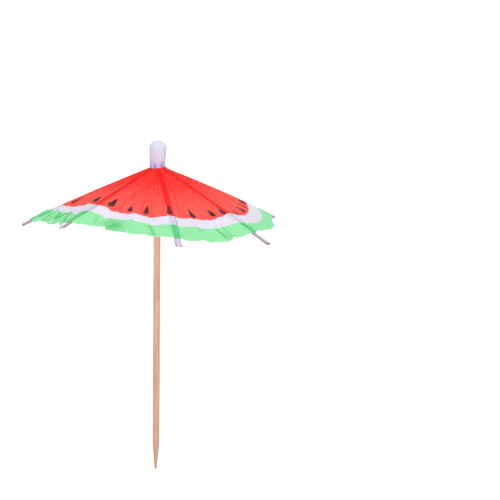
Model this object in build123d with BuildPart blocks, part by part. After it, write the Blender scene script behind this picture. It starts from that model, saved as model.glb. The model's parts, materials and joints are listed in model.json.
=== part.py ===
from build123d import *
import os
from math import asin, atan2, cos, degrees, hypot, radians, sin, sqrt, tan

# Cocktail umbrella on a wooden pick, standing open.
# Lengths are in millimetres, angles in degrees. The tip of the pick is the origin, +Z is up the pick.

# Pick
overall_height = 101.6
pick_radius = 1.05
pick_point_length = 8.5
pick_tip_radius = 0.25
pick_tip_round = 0.2

# Crown, the rolled back of the rib comb, and the paper roll that fixes it to the pick
crown_height = 8.5
crown_wall = 0.45
crown_dome_round = 2.0
crown_cap = 2.4
crown_slit_width = 0.5
crown_slit_height = 2.0
core_wall = 0.96
glue_gap = 0.02

# Runner, the rolled back of the stretcher comb, and the paper roll that guides it on the pick
runner_height = 4.8
runner_wall = 0.4
runner_slit_width = 0.5
runner_slit_height = 1.2
runner_lap_thickness = 0.2
runner_lap_drop = 1.5
runner_lap_start = 200.0
runner_lap_arc = 115.0
spacer_wall = 0.43
spacer_inset = 0.3
slide_clearance = 0.05
crease_clearance = 0.12

# Lock ring under the runner
ring_height = 1.0
ring_wall = 0.28
ring_round = 0.09
ring_clearance = 0.02
ring_gap = 0.05

# Ribs, hand-set round the crown, each with its own small change of droop
rib_azimuths = [65, 106, 146, 186, 229, 279, 324, 385]
rib_droop_changes = [0, 0, 3, 0, -5.5, -0.5, 2.5, 1.5]
rib_droop = 23.0
rib_length = 41.6
rib_width = 1.9
rib_thickness = 0.45
rib_taper_length = 7.0
rib_slit = 0.25
rib_start = 0.15
rib_corner = 0.25
hub_gap = 0.1

# Stretchers and the fold
pivot_distance = 17.0
closed_lean = 8.0
stretcher_width = 1.4
stretcher_thickness = 0.4
stretcher_taper_length = 5.0
stretcher_slit = 0.16
stretcher_start = 0.15
pivot_gap = 0.1

# Canopy paper
paper_thickness = 0.1
paper_rim_inset = 4.3
paper_hub_gap = 0.9
paper_clearance = 0.05
paper_tilt = 20.0
paper_hinge_gap = 0.35
paper_fold_share = 0.046

# Sizes that follow from the ones above
crown_bottom = overall_height - crown_height
crown_cavity_top = overall_height - crown_cap
core_inner = pick_radius + glue_gap
core_radius = core_inner + core_wall
crown_inner = core_radius + glue_gap
crown_radius = crown_inner + crown_wall
spacer_inner = pick_radius + slide_clearance
spacer_radius = spacer_inner + spacer_wall
runner_inner = spacer_radius + glue_gap
runner_radius = runner_inner + runner_wall
crease_radius = runner_radius + slide_clearance
hinge_height = crown_bottom - rib_thickness - hub_gap
open_lean = 90 - rib_droop
rib_leans = [open_lean - change for change in rib_droop_changes]
rib_count = len(rib_azimuths)
open_drop = 2 * pivot_distance * cos(radians(open_lean))
closed_drop = 2 * pivot_distance * cos(radians(closed_lean))
runner_crease = hinge_height - open_drop
runner_top = runner_crease - crease_clearance
runner_bottom = runner_top - runner_height
ring_top = runner_bottom - ring_gap
ring_inner = pick_radius + ring_clearance
paper_radius = rib_length + crease_radius / sin(radians(open_lean)) - paper_rim_inset
paper_hole = crown_radius + paper_hub_gap
paper_lift = rib_width / 2 * tan(radians(paper_tilt)) + paper_clearance
gore_angles = [
    (rib_azimuths + [rib_azimuths[0] + 360])[i + 1] - rib_azimuths[i] for i in range(rib_count)
]
gore_middles = [rib_azimuths[i] + gore_angles[i] / 2 for i in range(rib_count)]
half_gap_tangent = tan(radians(min(gore_angles) / 2))
rib_neck = 2 * crease_radius * half_gap_tangent - rib_slit
stretcher_neck = 2 * (crease_radius - stretcher_thickness) * half_gap_tangent - stretcher_slit
up = Vector(0, 0, 1)


def outward(azimuth):
    """Level unit vector pointing away from the pick."""
    return Vector(cos(radians(azimuth)), sin(radians(azimuth)), 0)


def sideways(azimuth):
    """Level unit vector across a rib, counter-clockwise seen from above."""
    return Vector(-sin(radians(azimuth)), cos(radians(azimuth)), 0)


def rib_plane(azimuth, lean):
    """Plane on a rib's underside: origin on its hinge, X down along the rib, Z out of its upper face."""
    slope, drop = sin(radians(lean)), cos(radians(lean))
    return Plane(
        origin=outward(azimuth) * crease_radius + up * hinge_height,
        x_dir=outward(azimuth) * slope - up * drop,
        z_dir=outward(azimuth) * drop + up * slope,
    )


def link_lengths(lean):
    """Crown-to-pivot and pivot-to-runner lengths that suit the shared runner at both ends of the fold."""
    reach = closed_drop * cos(radians(closed_lean)) - open_drop * cos(radians(lean))
    upper = (closed_drop**2 - open_drop**2) / (2 * reach)
    lower = sqrt(upper**2 - 2 * open_drop * upper * cos(radians(lean)) + open_drop**2)
    return upper, lower


def stretcher_lean(upper, lean, drop):
    """Lean of a stretcher from the vertical when its rib has this lean and the runner this drop."""
    return degrees(atan2(upper * sin(radians(lean)), drop - upper * cos(radians(lean))))


def stretcher_plane(azimuth, lean):
    """Plane on a stretcher's underside: origin on the runner's crease, X up along it, Z to its upper face."""
    slope, rise = sin(radians(lean)), cos(radians(lean))
    return Plane(
        origin=outward(azimuth) * crease_radius + up * runner_crease,
        x_dir=outward(azimuth) * slope + up * rise,
        z_dir=up * slope - outward(azimuth) * rise,
    )


def paper_apex(rib):
    """Point on the pick's axis that the paper's line over a rib runs back to."""
    top = rib.offset(rib_thickness + paper_lift).origin
    return top - rib.x_dir * (hypot(top.X, top.Y) / hypot(rib.x_dir.X, rib.x_dir.Y))


def crease_rim(rib, next_rib):
    """Rim end of the crease halfway between two ribs, in the plane that they stretch the paper to."""
    middle = (paper_apex(rib) + paper_apex(next_rib)) * 0.5
    along = (rib.x_dir + next_rib.x_dir).normalized()
    return middle + along * paper_radius


def panel_plane(rib, rim):
    """Plane of a half gore: origin at its apex, X along its rib, Y towards its crease."""
    toward = rim - paper_apex(rib)
    across = toward - rib.x_dir * toward.dot(rib.x_dir)
    return Plane(origin=paper_apex(rib), x_dir=rib.x_dir, z_dir=rib.x_dir.cross(across))


def panel_spread(rib, rim):
    """Angle between a rib and the crease beside it, in the plane of the half gore."""
    toward = rim - paper_apex(rib)
    along = toward.dot(rib.x_dir)
    return degrees(atan2(sqrt(toward.length**2 - along**2), along))


os.makedirs("parts", exist_ok=True)
ribs = [rib_plane(azimuth, lean) for azimuth, lean in zip(rib_azimuths, rib_leans)]
crease_rims = [crease_rim(ribs[i], ribs[(i + 1) % rib_count]) for i in range(rib_count)]

# Pick, a round stick with a long point
with BuildPart() as pick:
    with BuildSketch(Plane.XZ):
        Polygon(
            (0, 0),
            (pick_tip_radius, 0),
            (pick_radius, pick_point_length),
            (pick_radius, crown_cavity_top - glue_gap),
            (0, crown_cavity_top - glue_gap),
            align=None,
        )
    revolve(axis=Axis.Z)
    fillet(pick.edges().sort_by(Axis.Z)[0], radius=pick_tip_round)
pick.part.label = "pick"
export_step(pick.part, "parts/pick.step")

# Crown core, the paper roll between the pick and the crown
with BuildPart() as crown_core:
    with BuildSketch(Plane.XY.offset(crown_bottom)):
        Circle(core_radius)
        Circle(core_inner, mode=Mode.SUBTRACT)
    extrude(amount=crown_cavity_top - glue_gap - crown_bottom)
crown_core.part.label = "crown_core"
export_step(crown_core.part, "parts/crown_core.step")

# Crown, a domed cap with a slit at its lower edge between each two ribs
with BuildPart() as crown:
    with BuildSketch(Plane.XY.offset(crown_bottom)):
        Circle(crown_radius)
    extrude(amount=crown_height)
    fillet(crown.edges().sort_by(Axis.Z)[-1], radius=crown_dome_round)
    with BuildSketch(Plane.XY.offset(crown_bottom)):
        Circle(crown_inner)
    extrude(amount=crown_cavity_top - crown_bottom, mode=Mode.SUBTRACT)
    for azimuth in gore_middles:
        with BuildSketch(Plane(up * crown_bottom, x_dir=sideways(azimuth), z_dir=outward(azimuth))):
            Polygon(
                (-crown_slit_width / 2, 0),
                (crown_slit_width / 2, 0),
                (0, crown_slit_height),
                align=None,
            )
        extrude(amount=2 * crown_radius, mode=Mode.SUBTRACT)
crown.part.label = "crown"
export_step(crown.part, "parts/crown.step")

# Runner, a rolled tube with a lapped seam and a slit at its upper edge between each two stretchers
with BuildPart() as runner:
    with BuildSketch(Plane.XY.offset(runner_bottom)):
        Circle(runner_radius)
    extrude(amount=runner_height)
    with BuildSketch(Plane.XY.offset(runner_bottom)):
        with BuildLine():
            lap = CenterArc(
                (0, 0), runner_radius + runner_lap_thickness, runner_lap_start, runner_lap_arc
            )
            Polyline(lap @ 1, (0, 0), lap @ 0)
        make_face()
    extrude(amount=runner_height - runner_lap_drop)
    with BuildSketch(Plane.XY.offset(runner_bottom)):
        Circle(runner_inner)
    extrude(amount=runner_height, mode=Mode.SUBTRACT)
    for azimuth in gore_middles:
        with BuildSketch(Plane(up * runner_top, x_dir=sideways(azimuth), z_dir=outward(azimuth))):
            Polygon(
                (-runner_slit_width / 2, 0),
                (0, -runner_slit_height),
                (runner_slit_width / 2, 0),
                align=None,
            )
        extrude(amount=2 * runner_radius, mode=Mode.SUBTRACT)
runner.part.label = "runner"
export_step(runner.part, "parts/runner.step")

# Spacer roll, the paper tube inside the runner
with BuildPart() as spacer_roll:
    with BuildSketch(Plane.XY.offset(runner_bottom + spacer_inset)):
        Circle(spacer_radius)
        Circle(spacer_inner, mode=Mode.SUBTRACT)
    extrude(amount=runner_height - runner_slit_height - spacer_inset)
spacer_roll.part.label = "spacer_roll"
export_step(spacer_roll.part, "parts/spacer_roll.step")

# Lock ring, which grips the pick just under the runner
with BuildPart() as lock_ring:
    with BuildSketch(Plane.XY.offset(ring_top - ring_height)):
        Circle(ring_inner + ring_wall)
        Circle(ring_inner, mode=Mode.SUBTRACT)
    extrude(amount=ring_height)
    fillet(lock_ring.edges().filter_by(GeomType.CIRCLE).group_by(SortBy.RADIUS)[-1], radius=ring_round)
lock_ring.part.label = "lock_ring"
export_step(lock_ring.part, "parts/lock_ring.step")

for index in range(rib_count):
    number = index + 1
    plane = ribs[index]

    # Rib, a flat strip that narrows to its tooth of the comb
    with BuildPart() as rib:
        with BuildSketch(plane):
            Polygon(
                (rib_start, -rib_neck / 2),
                (rib_taper_length, -rib_width / 2),
                (rib_length, -rib_width / 2),
                (rib_length, rib_width / 2),
                (rib_taper_length, rib_width / 2),
                (rib_start, rib_neck / 2),
                align=None,
            )
        extrude(amount=rib_thickness)
        tip_corners = rib.edges().filter_by(Axis(plane.origin, plane.z_dir))
        fillet(tip_corners.sort_by(Axis(plane.origin, plane.x_dir))[-2:], radius=rib_corner)
    rib.part.label = f"rib_{number}"
    export_step(rib.part, f"parts/rib_{number}.step")

    # Stretcher, from the runner's crease to the underside of the rib, cut off along the rib
    upper, lower = link_lengths(rib_leans[index])
    lean = stretcher_lean(upper, rib_leans[index], open_drop)
    with BuildPart() as stretcher:
        with BuildSketch(stretcher_plane(rib_azimuths[index], lean)):
            Polygon(
                (stretcher_start, -stretcher_neck / 2),
                (stretcher_taper_length, -stretcher_width / 2),
                (lower, -stretcher_width / 2),
                (lower, stretcher_width / 2),
                (stretcher_taper_length, stretcher_width / 2),
                (stretcher_start, stretcher_neck / 2),
                align=None,
            )
        extrude(amount=stretcher_thickness)
        split(bisect_by=plane.offset(-pivot_gap), keep=Keep.BOTTOM)
    stretcher.part.label = f"stretcher_{number}"
    export_step(stretcher.part, f"parts/stretcher_{number}.step")

    # Canopy panels, the half gores on the two sides of the rib
    for side, name, gore in ((1, "left", index), (-1, "right", index - 1)):
        rim = crease_rims[gore]
        crease_angle = panel_spread(plane, rim) - paper_fold_share * gore_angles[gore]
        rim_angle = degrees(asin(paper_hinge_gap / paper_radius))
        hole_angle = degrees(asin(paper_hinge_gap / paper_hole))
        with BuildPart() as panel:
            with BuildSketch(panel_plane(plane, rim)):
                with BuildLine():
                    outer = CenterArc((0, 0), paper_radius, rim_angle, crease_angle - rim_angle)
                    inner = CenterArc((0, 0), paper_hole, hole_angle, crease_angle - hole_angle)
                    Line(inner @ 0, outer @ 0)
                    Line(outer @ 1, inner @ 1)
                make_face()
            extrude(amount=side * paper_thickness)
        panel.part.label = f"canopy_{number}_{name}"
        export_step(panel.part, f"parts/canopy_{number}_{name}.step")
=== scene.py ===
import json
import math

import bpy
import numpy as np
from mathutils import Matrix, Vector


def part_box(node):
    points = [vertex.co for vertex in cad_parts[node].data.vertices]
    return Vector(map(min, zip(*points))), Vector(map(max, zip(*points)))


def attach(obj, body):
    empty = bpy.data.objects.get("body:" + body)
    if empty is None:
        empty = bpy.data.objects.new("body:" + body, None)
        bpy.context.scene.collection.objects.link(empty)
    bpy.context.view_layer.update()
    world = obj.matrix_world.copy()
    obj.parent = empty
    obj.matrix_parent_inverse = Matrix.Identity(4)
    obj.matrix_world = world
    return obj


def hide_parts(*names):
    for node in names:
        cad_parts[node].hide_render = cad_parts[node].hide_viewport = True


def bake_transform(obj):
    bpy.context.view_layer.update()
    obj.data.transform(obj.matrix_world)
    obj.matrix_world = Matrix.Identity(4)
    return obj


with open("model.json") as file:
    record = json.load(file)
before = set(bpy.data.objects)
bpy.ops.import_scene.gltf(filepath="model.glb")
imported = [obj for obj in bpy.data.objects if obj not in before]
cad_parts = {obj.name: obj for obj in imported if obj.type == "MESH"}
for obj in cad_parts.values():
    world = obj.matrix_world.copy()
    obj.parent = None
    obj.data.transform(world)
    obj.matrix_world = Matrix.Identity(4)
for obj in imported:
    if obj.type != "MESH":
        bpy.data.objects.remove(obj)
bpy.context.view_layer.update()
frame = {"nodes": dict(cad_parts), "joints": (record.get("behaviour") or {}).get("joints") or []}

# Cocktail umbrella on a wooden pick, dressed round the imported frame; its lengths are in millimetres
MM = 0.001
joints = {joint["name"]: joint for joint in frame["joints"]}
RIB_COUNT = 8


# Numbers and noise


def unit(vector):
    return vector / np.linalg.norm(vector, axis=-1, keepdims=True)


def ease(value, start, end):
    """0 up to start, 1 from end on, smooth between; end may lie below start."""
    t = np.clip((value - start) / (end - start), 0, 1)
    return t * t * (3 - 2 * t)


def soft_most(a, b, width):
    """The greater of two values, with the corner between them rounded."""
    return 0.5 * (a + b + np.sqrt((a - b) ** 2 + width**2))


def soft_least(a, b, width):
    return -soft_most(-a, -b, width)


def scatter(*cells):
    """A steady random number from 0 to 1 for each lattice cell."""
    mixed = sum(cell * weight for cell, weight in zip(cells, (127.1, 311.7, 74.7)))
    return np.modf(np.abs(np.sin(mixed) * 43758.5453))[0]


def grain(x, y, seed, wrap=None):
    """Smooth noise from -1 to 1 over a square lattice; wrap repeats it along x."""
    x0, y0 = np.floor(x), np.floor(y)
    fx, fy = x - x0, y - y0
    fx, fy = fx * fx * (3 - 2 * fx), fy * fy * (3 - 2 * fy)
    x1 = x0 + 1
    if wrap:
        x0, x1 = np.mod(x0, wrap), np.mod(x1, wrap)
    low = scatter(x0, y0, seed) * (1 - fx) + scatter(x1, y0, seed) * fx
    high = scatter(x0, y0 + 1, seed) * (1 - fx) + scatter(x1, y0 + 1, seed) * fx
    return 2 * (low * (1 - fy) + high * fy) - 1


def grain_at(x, y, seed):
    """The same noise at one place."""
    return float(grain(np.float64(x), np.float64(y), seed))


def gore_noise(turn, s, cells, rate, seed):
    """Noise round the canopy, with this many cells to a gore and this rate outwards."""
    return grain(turn * cells, s * rate, seed, wrap=cells * RIB_COUNT)


def ring_noise(theta, z, cells, rate, seed):
    """Noise round a turned piece, with this many cells round it and this rate upwards."""
    return grain(theta * (cells / 2) / math.pi, z * rate, seed, wrap=cells)


# Ribs as the frame's joints place them


class Rib:
    """One rib's hinge, directions and the line that the paper follows over it, in millimetres."""

    def __init__(self, number):
        fold = joints["canopy_fold" if number == 1 else f"rib_{number}_fold"]
        leaf = joints[f"canopy_{number}_left_fold"]
        knee = joints[f"stretcher_{number}_fold"]
        self.number = number
        self.hinge = np.array(fold["pos_m"]) / MM
        self.knee = np.array(knee["pos_m"]) / MM
        self.across = unit(np.array(fold["axis"], float))
        self.along = unit(np.array(leaf["axis"], float))
        self.up = np.cross(self.along, self.across)
        line = np.array(leaf["pos_m"]) / MM
        self.apex = line - self.along * np.hypot(*line[:2]) / np.hypot(*self.along[:2])
        self.paper_height = (line - self.hinge) @ self.up


ribs = [Rib(number) for number in range(1, RIB_COUNT + 1)]
RIB_LENGTH, RIB_START, RIB_TAPER = 41.6, 0.15, 7.0
RIB_NECK, RIB_WIDTH, RIB_THICKNESS = 1.2, 1.9, 0.45
RIB_CORNER, RIB_SPLAY, RIB_FRAY = 0.3, 0.32, 0.06
# For each rib: its bow, the curl and twist of its tip, the length trimmed off it and the slant of its end
RIB_BOWS = [0.2, 0.2, 0.2, 0.3, 0.0, 0.1, 0.1, 0.3]
RIB_CURLS = [0.1, -0.1, 0.0, 0.0, 0.35, 0.1, 0.0, -0.3]
RIB_ROLLS = [6, -8, 5, -4, 14, -12, -9, -6]
RIB_TRIMS = [0.1, 0.0, 0.2, 0.0, 0.1, 0.35, 0.0, 0.4]
RIB_SLANTS = [0.1, -0.12, 0.08, -0.1, 0.1, 0.16, -0.2, 0.1]
PALE_ENDS = (2, 5, 6)
# Where along a rib its tip curls, as a share, and where it twists and splays
CURL_START = 0.5
TWIST_START, TWIST_END = 31.0, 39.0
SPLAY_START, SPLAY_END = 37.0, 41.0
# Distance from the paper's apex at which a rib's own length starts
HINGE_REACH = 2.0


def rib_bow(rib, x):
    """How far a rib bends up at this distance from its hinge; its stretcher pushes it and its tip curls."""
    share = np.clip(x / RIB_LENGTH, 0, 1)
    curl = RIB_CURLS[rib.number - 1] * np.clip((share - CURL_START) / (1 - CURL_START), 0, 1) ** 2
    return RIB_BOWS[rib.number - 1] * 4 * share * (1 - share) + curl


def rib_roll(rib, x):
    """How far a rib is twisted at this distance from its hinge, in radians."""
    return math.radians(RIB_ROLLS[rib.number - 1]) * ease(x, TWIST_START, TWIST_END)


def rib_half_width(x):
    """Half width of a rib at this distance from its hinge."""
    share = np.clip((x - RIB_START) / (RIB_TAPER - RIB_START), 0, 1)
    return (RIB_NECK + (RIB_WIDTH - RIB_NECK) * share) / 2


# Meshes and materials


def placed(name, data):
    """A new object in the scene."""
    made = bpy.data.objects.new(name, data)
    bpy.context.scene.collection.objects.link(made)
    return made


def make_piece(name, points, faces, materials, sharp, face_slots=None):
    """A mesh object from points in millimetres, smooth but for edges sharper than the given angle."""
    mesh = bpy.data.meshes.new(name)
    mesh.from_pydata((np.asarray(points) * MM).tolist(), [], faces)
    for material in materials:
        mesh.materials.append(material)
    if face_slots is not None:
        mesh.polygons.foreach_set("material_index", face_slots)
    mesh.polygons.foreach_set("use_smooth", [True] * len(mesh.polygons))
    mesh.set_sharp_from_angle(angle=math.radians(sharp))
    mesh.update()
    return placed(name, mesh)


def store(piece, name, values, kind="FLOAT"):
    """Keeps a number or vector for each point of a piece, for its material to read."""
    attribute = piece.data.attributes.new(name, kind, "POINT")
    field = "value" if kind == "FLOAT" else "vector"
    attribute.data.foreach_set(field, np.asarray(values, np.float32).ravel())


def dress(piece, node, body):
    """Hides the solid that a rigid piece stands for and hangs the piece on the body that carries it."""
    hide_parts(node)
    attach(piece, body)


class Paint:
    """A material's node tree with short calls for the nodes used here."""

    def __init__(self, name):
        self.material = bpy.data.materials.new(name)
        self.material.use_nodes = True
        self.tree = self.material.node_tree
        self.shader = self.tree.nodes["Principled BSDF"]
        self.output = self.tree.nodes["Material Output"]

    def node(self, kind, sockets=None, **settings):
        made = self.tree.nodes.new(kind)
        for key, value in settings.items():
            setattr(made, key, value)
        for key, value in (sockets or {}).items():
            self.put(made.inputs[key], value)
        return made

    def put(self, socket, value):
        if isinstance(value, bpy.types.NodeSocket):
            self.tree.links.new(value, socket)
        else:
            socket.default_value = value

    def value(self, name, output="Fac"):
        return self.node("ShaderNodeAttribute", attribute_name=name).outputs[output]

    def place(self):
        return self.node("ShaderNodeTexCoord").outputs["Object"]

    def height(self, place):
        return self.node("ShaderNodeSeparateXYZ", {"Vector": place}).outputs["Z"]

    def stretch(self, vector, scale):
        return self.node("ShaderNodeMapping", {"Vector": vector, "Scale": scale}).outputs["Vector"]

    def noise(self, vector, scale, detail, roughness):
        sockets = {"Vector": vector, "Scale": scale, "Detail": detail, "Roughness": roughness}
        return self.node("ShaderNodeTexNoise", sockets).outputs["Fac"]

    def sum(self, operation, *values):
        made = self.node("ShaderNodeMath", operation=operation)
        for socket, value in zip(made.inputs, values):
            self.put(socket, value)
        return made.outputs["Value"]

    def times(self, first, second):
        return self.sum("MULTIPLY", first, second)

    def ramp(self, value, low, high, start=0.0, end=1.0):
        """start below low, end above high, smooth between."""
        sockets = {"Value": value, "From Min": low, "From Max": high, "To Min": start, "To Max": end}
        return self.node("ShaderNodeMapRange", sockets, interpolation_type="SMOOTHSTEP").outputs["Result"]

    def mix(self, share, first, second):
        """One tone over another; a tone is a socket, or red, green and blue as display values."""
        made = self.node("ShaderNodeMix", data_type="RGBA")
        self.put(made.inputs[0], share)
        for place, tone in ((6, first), (7, second)):
            self.put(made.inputs[place], colour(*tone) if isinstance(tone, tuple) else tone)
        return made.outputs[2]

    def layers(self, tone, *rows):
        """Lays tones over a tone; each row is a value, its low and high, the shares there and a tone."""
        for value, low, high, start, end, over in rows:
            tone = self.mix(self.ramp(value, low, high, start, end), tone, over)
        return tone

    def bump(self, height, distance, strength):
        sockets = {"Height": height, "Distance": distance * MM, "Strength": strength}
        self.put(self.shader.inputs["Normal"], self.node("ShaderNodeBump", sockets).outputs["Normal"])

    def look(self, **values):
        for key, value in values.items():
            self.put(self.shader.inputs[key.replace("_", " ")], value)


def colour(red, green, blue):
    """A linear colour from display values of 0 to 255."""
    linear = [((v / 255 + 0.055) / 1.055) ** 2.4 if v > 10 else v / 255 / 12.92 for v in (red, green, blue)]
    return (*linear, 1.0)


# Printed tissue: red flesh, a pale band and a green rim, with dark seeds; ribs show through it as painted
# shade

SEE_THROUGH = 0.2


def tissue(name, pale):
    """The printed face, or its pale back when pale is above 0."""
    paint = Paint(name)
    flat = paint.value("flat", "Vector")
    polar = paint.value("polar", "Vector")
    wobble = paint.sum("SUBTRACT", paint.noise(flat, 0.32, 3, 0.7), 0.5)
    teeth = paint.sum("SUBTRACT", paint.noise(flat, 1.1, 2, 0.6), 0.5)
    edge = paint.sum("ADD", paint.times(wobble, 1.3), paint.times(teeth, 1.1))
    in_white = paint.ramp(paint.sum("ADD", paint.value("past_red"), edge), -0.07, 0.07)
    in_green = paint.ramp(paint.sum("SUBTRACT", paint.value("past_white"), edge), -0.09, 0.09)
    fibres = paint.noise(flat, 2.2, 4, 0.7)
    clouds = paint.noise(flat, 0.45, 3, 0.6)
    # Radial streaks of painted shade along the pleats
    pleat_streak_shade = paint.noise(paint.stretch(polar, (1.0, 0.05, 1)), 1.2, 3, 0.6)
    # Creases: a dip in the bump and painted shade in the colour
    at_crease = paint.ramp(paint.sum("ABSOLUTE", paint.value("crease")), 0.02, 0.26, 1.0, 0.0)
    crease_dip_and_shade = paint.times(at_crease, paint.value("crease_depth"))
    crinkle = paint.value("crinkle")
    wrinkle = paint.sum("ABSOLUTE", paint.sum("SUBTRACT", paint.noise(flat, 0.62, 2, 0.5), 0.5))
    wrinkle = paint.times(paint.ramp(wrinkle, 0.0, 0.035, 1.0, 0.0), crinkle)

    # Red flesh, paler outwards; the deeper red towards the crown and the radial streaks are painted shade
    red = paint.layers(
        paint.mix(paint.ramp(paint.value("reach"), 7.5, 26.0), (252, 46, 43), (255, 104, 96)),
        (pleat_streak_shade, 0.38, 0.72, 0.0, 0.6, (252, 70, 65)),
        (clouds, 0.4, 0.75, 0.0, 0.3, (255, 122, 112)),
        (fibres, 0.45, 0.75, 0.0, 0.22, (246, 66, 62)),
    )
    # Painted shade along the creases of the red flesh and the pale band
    red = paint.mix(paint.times(crease_dip_and_shade, 0.75), red, (240, 34, 36))
    white = paint.mix(paint.ramp(fibres, 0.3, 0.7), (229, 224, 241), (242, 239, 249))
    white = paint.mix(paint.times(crease_dip_and_shade, 0.5), white, (208, 202, 226))
    # Green rim, with painted shade where it is folded, creased or crinkled, and with pale specks
    green = paint.layers(
        paint.mix(paint.ramp(fibres, 0.3, 0.7), (150, 233, 171), (172, 246, 190)),
        (clouds, 0.45, 0.75, 0.0, 0.4, (140, 232, 164)),
        (paint.value("fold"), 0.1, 0.9, 0.0, 0.95, (84, 208, 124)),
    )
    green = paint.mix(paint.times(crease_dip_and_shade, 0.6), green, (96, 208, 132))
    # Painted shade over the crinkled patches
    crinkled = paint.times(paint.ramp(clouds, 0.35, 0.6, 1.0, 0.5), crinkle)
    green = paint.mix(crinkled, green, (84, 206, 120))
    green = paint.mix(paint.times(wrinkle, 0.65), green, (190, 206, 122))
    speck = paint.sum("ADD", paint.value("speck"), paint.times(teeth, 1.6))
    green = paint.layers(green, (speck, -0.08, 0.08, 0.9, 0.0, (240, 246, 242)))
    open_paper = paint.mix(in_green, paint.mix(in_white, red, white), green)
    # Ribs show through as painted shade, a darker band with a soft painted shadow beside it, and a brown line
    # along their cut side
    rib_shadow_tone = paint.mix(in_white, (255, 22, 22), (220, 215, 236))
    rib_shadow_tone = paint.mix(in_green, rib_shadow_tone, (86, 212, 130))
    rib_edge = paint.value("rib_edge")
    shown_edge = paint.sum("ADD", rib_edge, paint.ramp(in_white, 0.0, 1.0, 0.16, 0.0))
    # Painted shade over each rib, and a soft painted shadow beside it
    on_rib = paint.ramp(shown_edge, -0.14, 0.08, 0.85, 0.0)
    shade = paint.ramp(rib_edge, 0.0, 0.9, 0.18, 0.0)
    printed = paint.mix(paint.sum("MAXIMUM", on_rib, shade), open_paper, rib_shadow_tone)
    brown = paint.ramp(paint.sum("ABSOLUTE", rib_edge), 0.04, 0.2, 0.55, 0.0)
    brown = paint.times(paint.times(brown, paint.value("cut_side")), in_white)
    brown = paint.times(brown, paint.ramp(in_green, 0.0, 1.0, 1.0, 0.2))
    printed = paint.mix(brown, printed, (176, 150, 150))
    seed_grain = paint.noise(paint.stretch(polar, (1.0, 0.16, 1)), 2.0, 2, 0.6)
    seed_tone = paint.mix(paint.ramp(seed_grain, 0.35, 0.68), (66, 34, 36), (122, 80, 82))
    seed_edge = paint.sum("ADD", paint.value("seed"), paint.times(teeth, 0.3))
    printed = paint.layers(printed, (seed_edge, -0.07, 0.07, 1.0, 0.0, seed_tone))
    if pale:
        printed = paint.mix(pale, printed, (250, 240, 240))

    paint.look(Base_Color=printed, Roughness=paint.ramp(fibres, 0.2, 0.8, 0.8, 0.97), Specular_IOR_Level=0.12)
    height = paint.sum("ADD", paint.times(fibres, 0.7), paint.times(crease_dip_and_shade, -0.9))
    paint.bump(paint.sum("ADD", height, paint.times(wrinkle, 1.2)), 0.06, 0.7)
    through = paint.node("ShaderNodeBsdfTranslucent", {"Color": printed})
    shaders = {0: SEE_THROUGH, 1: paint.shader.outputs["BSDF"], 2: through.outputs["BSDF"]}
    both = paint.node("ShaderNodeMixShader", shaders)
    paint.put(paint.output.inputs["Surface"], both.outputs["Shader"])
    return paint.material


def pulp(name, light, dark, low, high):
    """Soft pressed paper, with painted shade: dark below one height and light above another, with creping and
    painted shade in its slits.
    """
    paint = Paint(name)
    place = paint.place()
    crepe = paint.noise(paint.stretch(place, (1, 1, 0.12)), 2600, 3, 0.65)
    cloud = paint.noise(place, 700, 3, 0.6)
    height = paint.times(paint.height(place), 1 / MM)
    level = paint.sum("ADD", height, paint.times(cloud, 1.2))
    # Painted shade lower down and in the slits
    tone = paint.layers(
        paint.mix(paint.ramp(level, low, high), dark, light),
        (crepe, 0.3, 0.75, 0.32, 0.0, dark),
        (paint.value("slit"), 0.05, 0.2, 0.0, 0.85, (104, 96, 128)),
    )
    paint.look(Base_Color=tone, Roughness=paint.ramp(cloud, 0.3, 0.7, 0.85, 0.97), Specular_IOR_Level=0.08)
    paint.bump(paint.sum("ADD", crepe, cloud), 0.06, 0.7)
    return paint.material


def board(name, light, dark, speck, fine):
    """Chipboard: a smooth liner or a coarse brown core, with stray fibres."""
    paint = Paint(name)
    place = paint.place()
    cloud = paint.noise(place, 900 * fine, 4, 0.65)
    fibres = paint.noise(place, 4200 * fine, 3, 0.7)
    tone = paint.mix(paint.ramp(cloud, 0.3, 0.7), dark, light)
    tone = paint.layers(tone, (fibres, 0.58, 0.72, 0.0, 0.5, speck))
    paint.look(Base_Color=tone, Roughness=paint.ramp(fibres, 0.2, 0.8, 0.7, 0.92), Specular_IOR_Level=0.3)
    paint.bump(fibres, 0.03, 0.6)
    return paint.material


def wood(name):
    """Pale pinkish wood with fine lengthwise grain and darker pores, scorched brown at the very point, with
    painted shade lower down and painted light near the top.
    """
    paint = Paint(name)
    place = paint.place()
    height = paint.height(place)
    grain_lines = paint.noise(paint.stretch(place, (1, 1, 0.035)), 2400, 4, 0.65)
    pores = paint.noise(paint.stretch(place, (1, 1, 0.06)), 5200, 2, 0.6)
    patches = paint.noise(paint.stretch(place, (1, 1, 0.25)), 190, 2, 0.5)
    uneven = paint.times(paint.sum("SUBTRACT", patches, 0.5), 4 * MM)
    level = paint.sum("ADD", height, uneven)
    tone = paint.layers(
        paint.mix(paint.ramp(grain_lines, 0.3, 0.72), (198, 147, 122), (224, 182, 160)),
        (patches, 0.35, 0.7, 0.0, 0.5, (214, 170, 143)),
        (pores, 0.6, 0.75, 0.0, 0.6, (176, 118, 96)),
        # Painted shade down the lower pick, and painted light near its top where the canopy shades it
        (height, 7 * MM, 50 * MM, 0.42, 0.0, (190, 143, 120)),
        (height, 52 * MM, 68 * MM, 0.0, 0.55, (246, 196, 168)),
        (level, 1.0 * MM, 11 * MM, 0.45, 0.0, (190, 140, 105)),
        (level, 0.2 * MM, 1.6 * MM, 0.7, 0.0, (120, 82, 58)),
    )
    paint.look(Base_Color=tone, Roughness=paint.ramp(pores, 0.3, 0.7, 0.5, 0.72), Specular_IOR_Level=0.12)
    paint.bump(paint.sum("ADD", grain_lines, paint.times(pores, -0.7)), 0.04, 0.7)
    return paint.material


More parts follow.
